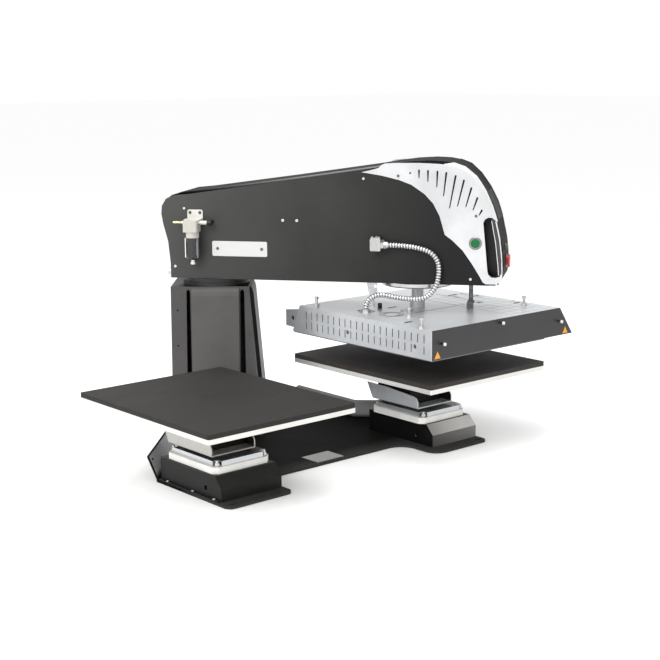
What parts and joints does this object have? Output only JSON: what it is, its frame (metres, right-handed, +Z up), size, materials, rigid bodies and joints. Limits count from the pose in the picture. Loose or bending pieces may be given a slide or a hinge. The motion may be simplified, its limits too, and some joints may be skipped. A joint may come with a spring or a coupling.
{
  "type": "heat press",
  "caption": "Pneumatic swing-arm heat press with side-by-side fixed lower platens and a heated head that swings between them and presses down.",
  "frame": {"origin": "on the floor, at the underside of the floor plate, directly below the column's swing axis", "axes": "+X to the operator's right, +Y away from the operator towards the column's back, +Z up"},
  "size_m": [1.133, 0.876, 0.709],
  "materials": {
    "black_powder_coat": "satin black powder coat",
    "blank_plate": "anodised, blank",
    "zinc_fasteners": "zinc plated",
    "white_plate": "white paint, semi gloss",
    "galvanised_steel": "galvanised, faint spangle",
    "dark_steel": "dark oiled steel",
    "platen_aluminium": "milled edges",
    "silicone_pad": "matt silicone",
    "machined_steel": "turned and ground",
    "carrier_steel": "bare steel",
    "pulley_aluminium": "machined",
    "belt_rubber": "matt",
    "cylinder_aluminium": "anodised",
    "silver_paint": "fine silver-white texture",
    "black_plastic": "fine grain",
    "grip_rail_finish": "semi gloss",
    "bezel_chrome": "polished",
    "green_plastic": "gloss",
    "red_plastic": "gloss",
    "filter_casting": "grey casting",
    "bowl_guard": "semi gloss",
    "plated_fittings": "nickel plated brass",
    "conduit_metal": "interlocked metal conduit",
    "fitting_metal": "nickel plated",
    "heater_aluminium": "dark coated",
    "insulation_wool": "mineral fibre",
    "head_silver": "brushed sheet",
    "head_dark": "dark grey textured paint"
  },
  "bodies": {
    "base": {"base_plate": "black_powder_coat", "rating_plate": "blank_plate", "pedestal_left": "black_powder_coat", "pedestal_right": "black_powder_coat", "pedestal_screws": "zinc_fasteners", "mounting_plates": "white_plate", "adjuster_trays": "galvanised_steel", "levelling_bolts": "zinc_fasteners", "platen_channel_left": "galvanised_steel", "platen_channel_right": "galvanised_steel", "platen_risers": "dark_steel", "lower_platen_left": "platen_aluminium", "lower_platen_right": "platen_aluminium", "silicone_pad_left": "silicone_pad", "silicone_pad_right": "silicone_pad", "column_shell": "black_powder_coat", "column_braces": "black_powder_coat", "swing_shaft": "dark_steel", "fixed_pulley": "pulley_aluminium"},
    "arm": {"turntable_upper_ring": "dark_steel", "arm_side_panel_left": "black_powder_coat", "arm_side_panel_right": "black_powder_coat", "arm_top_cover": "black_powder_coat", "arm_bottom_pan": "black_powder_coat", "nose_cover_left": "silver_paint", "nose_cover_right": "silver_paint", "grip_pockets": "black_plastic", "grip_bars": "grip_rail_finish", "start_button_bezels": "bezel_chrome", "emergency_stop_collar": "red_plastic", "control_panel": "black_plastic", "arm_nameplate": "blank_plate", "air_filter_bracket": "filter_casting", "air_filter_body": "filter_casting", "air_filter_bowl": "bowl_guard", "air_fittings": "plated_fittings", "arm_panel_bolts": "zinc_fasteners", "swivel_flange": "machined_steel", "drive_belt": "belt_rubber", "press_cylinder": "cylinder_aluminium", "conduit_elbow": "fitting_metal", "flexible_conduit": "conduit_metal"},
    "carriage": {"press_yoke": "machined_steel", "guide_strut_front": "machined_steel", "guide_plate_rear": "machined_steel"},
    "head": {"head_carrier": "carrier_steel", "heater_platen": "heater_aluminium", "insulation_blanket": "insulation_wool", "head_top_cover": "head_silver", "head_side_cover": "head_silver", "head_front_cover": "head_dark", "head_right_cover": "head_silver", "standoff_screws": "dark_steel", "head_studs": "zinc_fasteners", "conduit_gland": "fitting_metal"},
    "swivel_pulley": {"head_pulley": "pulley_aluminium"},
    "start_button_left": {"start_button_left": "green_plastic"},
    "start_button_right": {"start_button_right": "green_plastic"},
    "emergency_stop": {"emergency_stop_button": "red_plastic"},
    "drain": {"bowl_drain": "plated_fittings"}
  },
  "joints": [
    {"name": "arm_swing", "type": "hinge", "parent": "base", "child": "arm", "pos_m": [0, 0, 0.4], "axis": [0, 0, 1], "range_deg": [-74, 0]},
    {"name": "head_press", "type": "slide", "parent": "arm", "child": "carriage", "axis": [0, 0, 1], "range_m": [-0.0565, 0], "stiffness_N_per_m": 2500, "springref_m": 0.2},
    {"name": "head_turn", "type": "hinge", "parent": "carriage", "child": "head", "pos_m": [0.3165, -0.42, 0.35], "axis": [0, 0, 1], "range_deg": [0, 74]},
    {"name": "pulley_turn", "type": "hinge", "parent": "arm", "child": "swivel_pulley", "pos_m": [0.3165, -0.42, 0.44], "axis": [0, 0, 1], "range_deg": [0, 74]},
    {"name": "start_left_press", "type": "slide", "parent": "arm", "child": "start_button_left", "axis": [0.7986, 0.6018, 0], "range_m": [0, 0.003], "stiffness_N_per_m": 1200, "springref_m": -0.002},
    {"name": "start_right_press", "type": "slide", "parent": "arm", "child": "start_button_right", "axis": [-0.7986, -0.6018, 0], "range_m": [0, 0.003], "stiffness_N_per_m": 1200, "springref_m": -0.002},
    {"name": "emergency_stop_press", "type": "slide", "parent": "arm", "child": "emergency_stop", "axis": [-0.6018, 0.7986, 0], "range_m": [0, 0.003], "stiffness_N_per_m": 2000, "springref_m": -0.002},
    {"name": "drain_press", "type": "slide", "parent": "arm", "child": "drain", "axis": [0, 0, 1], "range_m": [0, 0.002], "stiffness_N_per_m": 800, "springref_m": -0.002}
  ],
  "couplings": [
    {"joint": "head_turn", "follows": "arm_swing", "ratio": -1},
    {"joint": "pulley_turn", "follows": "arm_swing", "ratio": -1}
  ]
}
